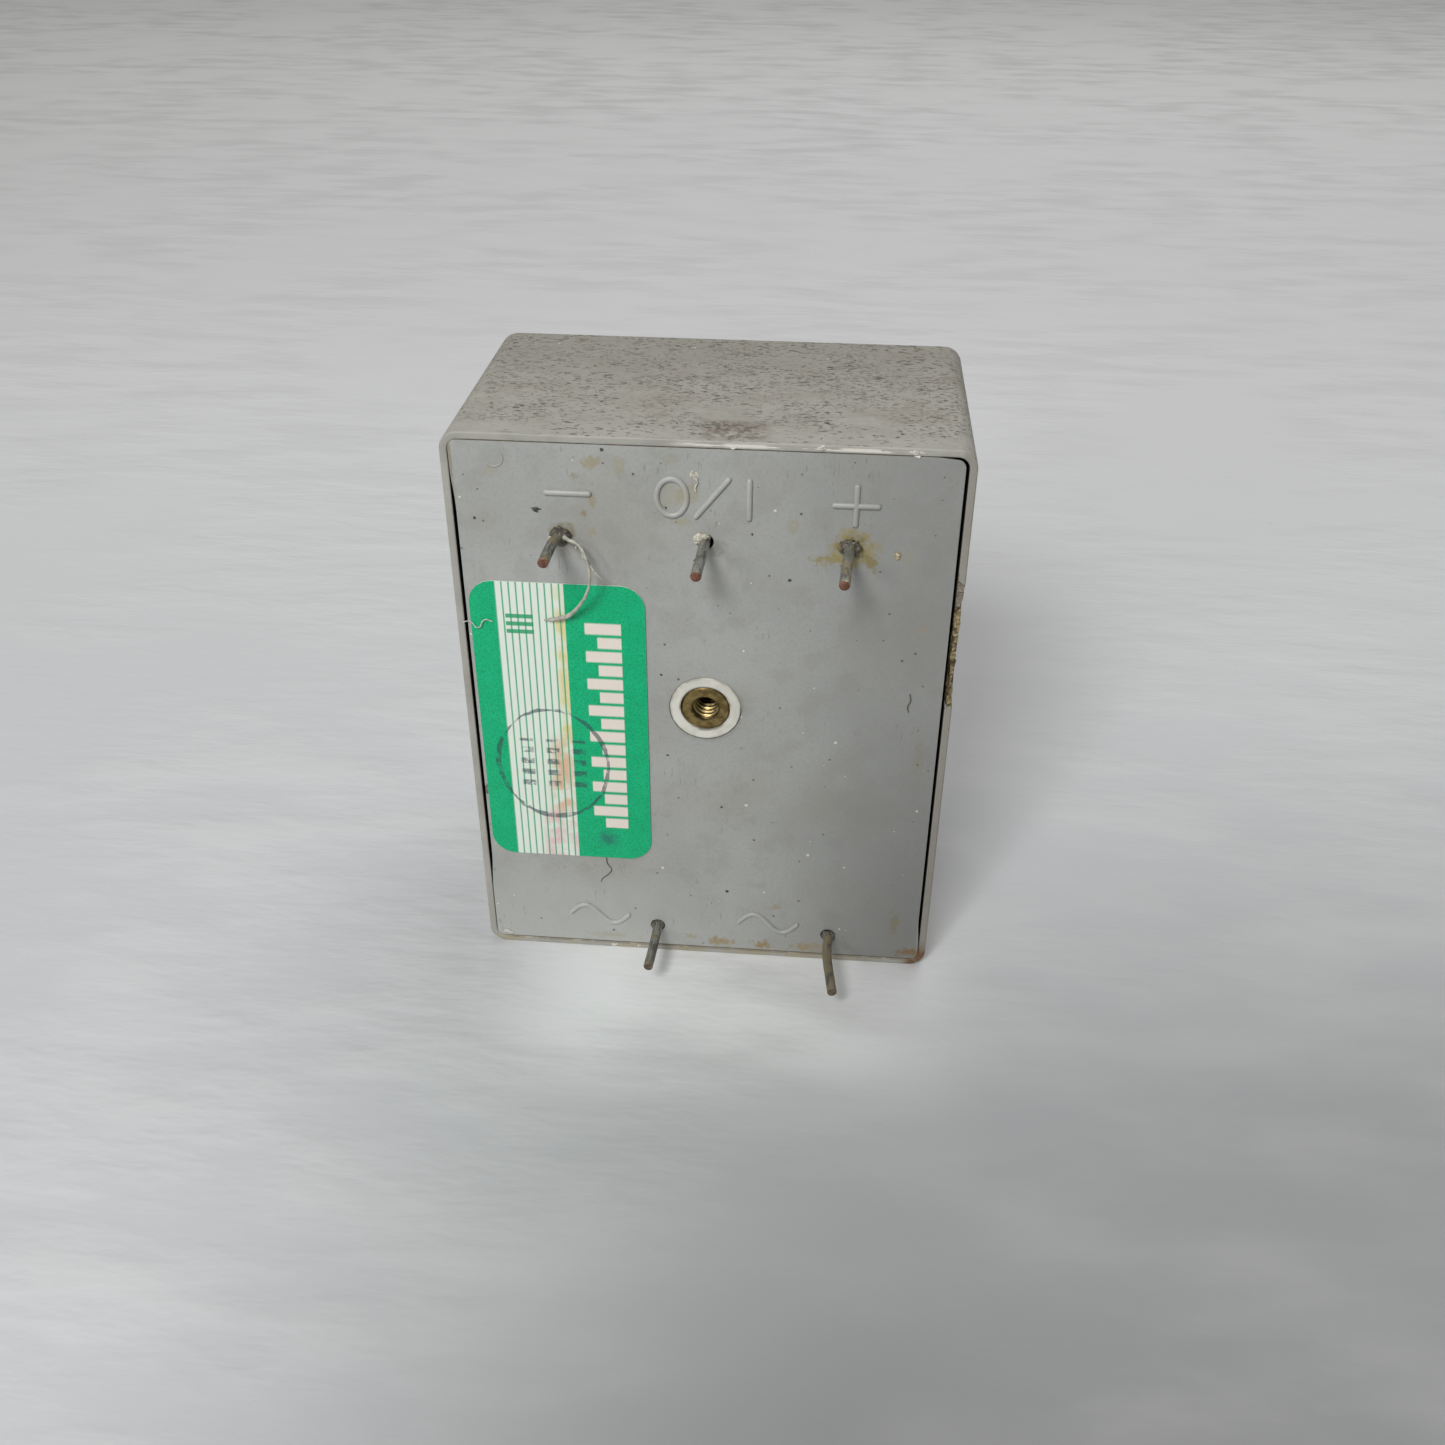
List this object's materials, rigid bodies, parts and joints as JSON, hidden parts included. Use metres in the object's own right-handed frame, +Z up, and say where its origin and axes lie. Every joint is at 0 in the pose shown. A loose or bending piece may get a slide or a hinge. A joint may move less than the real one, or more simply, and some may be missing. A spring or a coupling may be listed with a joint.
{
  "type": "solid state relay",
  "caption": "Potted solid state relay for a printed circuit board: a moulded box with a base plate, wire pins for control and load, and a central threaded insert.",
  "frame": {"origin": "centre of the flat end of the case that the relay stands on, the end with the two load pins", "axes": "+Z up, from the load pins' end to the control pins' end; -Y out of the base plate, the way the pins point; +X to the right of someone who faces the base plate"},
  "size_m": [0.0458, 0.0359, 0.0571],
  "materials": {
    "case_plastic": "moulded, dusty and scuffed",
    "plate_plastic": "moulded, satin",
    "nylon": "natural nylon",
    "brass": "turned and tarnished",
    "tinned_copper": "dull tinned wire",
    "label_paper": "printed, coated paper",
    "resin": "cast, sand-filled",
    "board_laminate": "paper laminate",
    "moulded_epoxy": "moulded",
    "aluminium": "rolled",
    "capacitor_film": "dipped",
    "resistor_enamel": "enamelled",
    "ceramic_coating": "dipped",
    "glass_body": "sealed glass",
    "capacitor_sleeve": "shrunk sleeve",
    "solder": "dull solder"
  },
  "bodies": {
    "root": {"case_shell": "case_plastic", "base_plate": "plate_plastic", "insert_sleeve": "nylon", "threaded_insert": "brass", "pin_minus": "tinned_copper", "pin_control": "tinned_copper", "pin_plus": "tinned_copper", "pin_load_left": "tinned_copper", "pin_load_right": "tinned_copper", "paper_label": "label_paper", "resin_block": "resin", "resin_cover": "resin", "circuit_board": "board_laminate", "snubber_capacitor": "capacitor_film", "snubber_resistor": "resistor_enamel", "gate_resistor": "resistor_enamel", "bias_resistor": "resistor_enamel", "timing_resistor": "resistor_enamel", "input_resistor": "resistor_enamel", "input_diode": "moulded_epoxy", "zener_diode": "glass_body", "line_varistor": "ceramic_coating", "bypass_capacitor": "resistor_enamel", "timing_capacitor": "capacitor_sleeve", "control_transistor": "moulded_epoxy", "optocoupler": "moulded_epoxy", "triac_body": "moulded_epoxy", "triac_tab": "aluminium", "triac_lead_main_1": "tinned_copper", "triac_lead_main_2": "tinned_copper", "triac_lead_gate": "tinned_copper", "heat_spreader": "aluminium", "tab_rivet": "aluminium", "solder_minus": "solder", "solder_control": "solder", "solder_plus": "solder", "solder_load_left": "solder", "solder_load_right": "solder"}
  },
  "joints": []
}
